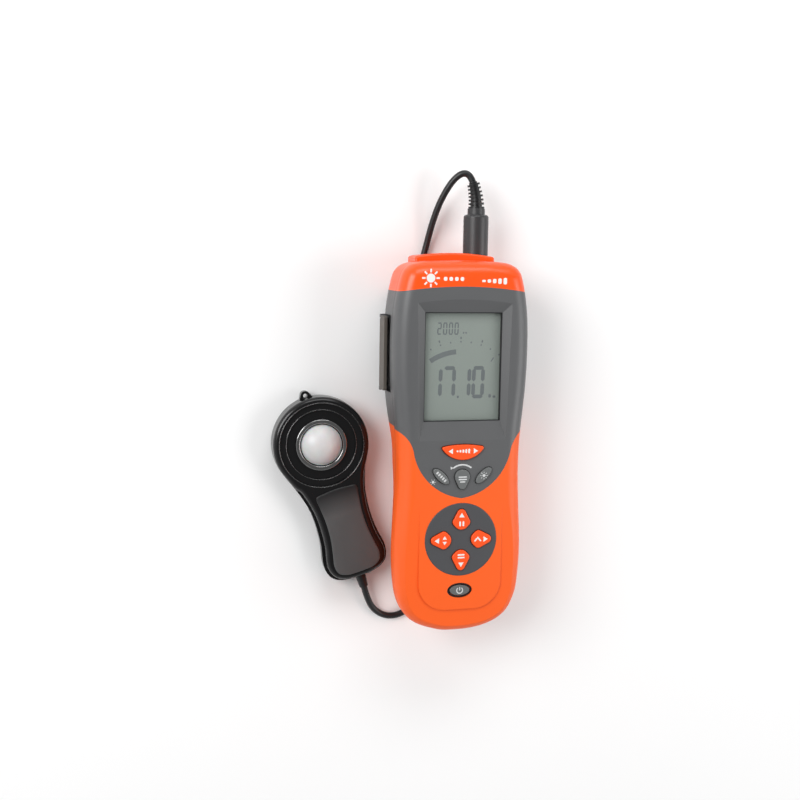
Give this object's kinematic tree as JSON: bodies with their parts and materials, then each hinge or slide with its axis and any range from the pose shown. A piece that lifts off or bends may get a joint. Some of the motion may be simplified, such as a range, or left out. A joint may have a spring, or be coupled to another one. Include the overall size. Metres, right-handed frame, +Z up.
{
  "type": "handheld light meter",
  "caption": "Handheld light meter with a waisted soft grip, large display, round arrow-key plate, plug-in lead and a domed light probe lying beside it.",
  "frame": {"origin": "centre of the box around the meter and its probe, without the lead and its plug, at the surface they lie on", "axes": "+Y along the meter towards its plug end, +Z up out of the display face, +X to the right of the display"},
  "size_m": [0.1325, 0.2527, 0.0492],
  "materials": {
    "case_gray": "fine-textured moulded shell",
    "plate_gray": "fine-textured moulded plate",
    "grip_orange": "soft over-moulded grip",
    "cap_orange": "semi-gloss moulded cap",
    "key_orange": "soft moulded key",
    "key_gray": "soft moulded key",
    "lens_clear": "clear window",
    "lcd_glass": "reflective liquid-crystal cell",
    "white_plastic": "light guide",
    "black_plastic": "moulded",
    "plug_gray": "satin moulded plug",
    "cover_brown": "moulded flap",
    "soft_rubber": "silicone",
    "foot_rubber": "moulded foot",
    "cord_black": "flexible jacket",
    "board_green": "printed circuit board",
    "steel": "plated steel",
    "brass": "plain",
    "battery_sleeve": "printed steel sleeve, plain colour",
    "probe_gloss": "gloss black, satin handle panel",
    "dome_white": "opal diffuser",
    "ring_bright": "bright turned ring",
    "filter_green": "colour-correction filter",
    "photodiode_dark": "silicon cell in a moulded carrier"
  },
  "bodies": {
    "meter": {"arrow_key_plate": "plate_gray", "backlight_panel": "white_plastic", "battery": "battery_sleeve", "battery_door": "grip_orange", "battery_door_screw": "steel", "battery_leads": "cord_black", "battery_snap": "black_plastic", "case_screws": "steel", "contact_strips": "soft_rubber", "display_lens": "lens_clear", "dome": "dome_white", "dome_ring": "ring_bright", "front_case": "case_gray", "front_grip": "grip_orange", "keypad_mat": "soft_rubber", "lcd_panel": "lcd_glass", "light_filter": "filter_green", "main_board": "board_green", "photodiode": "photodiode_dark", "plug_barrel": "plug_gray", "plug_insulator": "black_plastic", "plug_pins": "brass", "plug_shell": "steel", "plug_strain_relief": "cord_black", "port_board": "board_green", "port_cover_pin": "steel", "probe_board": "board_green", "probe_boot": "cord_black", "probe_front_case": "probe_gloss", "probe_rear_case": "probe_gloss", "probe_screws": "steel", "rear_case": "case_gray", "rear_grip": "grip_orange", "rubber_feet": "foot_rubber", "sensor_cord": "cord_black", "sensor_socket": "black_plastic", "stand_pin": "steel", "top_cap": "cap_orange", "tripod_insert": "brass", "usb_jack": "steel"},
    "range_key": {"range_key": "key_orange"},
    "log_key": {"log_key": "key_gray"},
    "memory_key": {"memory_key": "key_gray"},
    "set_key": {"set_key": "key_gray"},
    "up_key": {"up_key": "key_orange"},
    "left_key": {"left_key": "key_orange"},
    "down_key": {"down_key": "key_orange"},
    "right_key": {"right_key": "key_orange"},
    "power_key": {"power_key": "key_gray"},
    "port_cover": {"port_cover": "cover_brown"},
    "tilt_stand": {"tilt_stand": "case_gray"}
  },
  "joints": [
    {"name": "range_key_press", "type": "slide", "parent": "meter", "child": "range_key", "axis": [0, 0, -1], "range_m": [0, 0.0008], "stiffness_N_per_m": 400},
    {"name": "log_key_press", "type": "slide", "parent": "meter", "child": "log_key", "axis": [0, 0, -1], "range_m": [0, 0.0008], "stiffness_N_per_m": 400},
    {"name": "memory_key_press", "type": "slide", "parent": "meter", "child": "memory_key", "axis": [0, 0, -1], "range_m": [0, 0.0008], "stiffness_N_per_m": 400},
    {"name": "set_key_press", "type": "slide", "parent": "meter", "child": "set_key", "axis": [0, 0, -1], "range_m": [0, 0.0008], "stiffness_N_per_m": 400},
    {"name": "up_key_press", "type": "slide", "parent": "meter", "child": "up_key", "axis": [0, 0, -1], "range_m": [0, 0.0008], "stiffness_N_per_m": 400},
    {"name": "left_key_press", "type": "slide", "parent": "meter", "child": "left_key", "axis": [0, 0, -1], "range_m": [0, 0.0008], "stiffness_N_per_m": 400},
    {"name": "down_key_press", "type": "slide", "parent": "meter", "child": "down_key", "axis": [0, 0, -1], "range_m": [0, 0.0008], "stiffness_N_per_m": 400},
    {"name": "right_key_press", "type": "slide", "parent": "meter", "child": "right_key", "axis": [0, 0, -1], "range_m": [0, 0.0008], "stiffness_N_per_m": 400},
    {"name": "power_key_press", "type": "slide", "parent": "meter", "child": "power_key", "axis": [0, 0, -1], "range_m": [0, 0.0008], "stiffness_N_per_m": 400},
    {"name": "port_cover_hinge", "type": "hinge", "parent": "meter", "child": "port_cover", "pos_m": [-0.00785, 0.048, 0.0172], "axis": [0, -1, 0], "range_deg": [0, 95]},
    {"name": "tilt_stand_hinge", "type": "hinge", "parent": "meter", "child": "tilt_stand", "pos_m": [0.02955, 0.066, 0.0078], "axis": [1, 0, 0], "range_deg": [0, 62]}
  ]
}
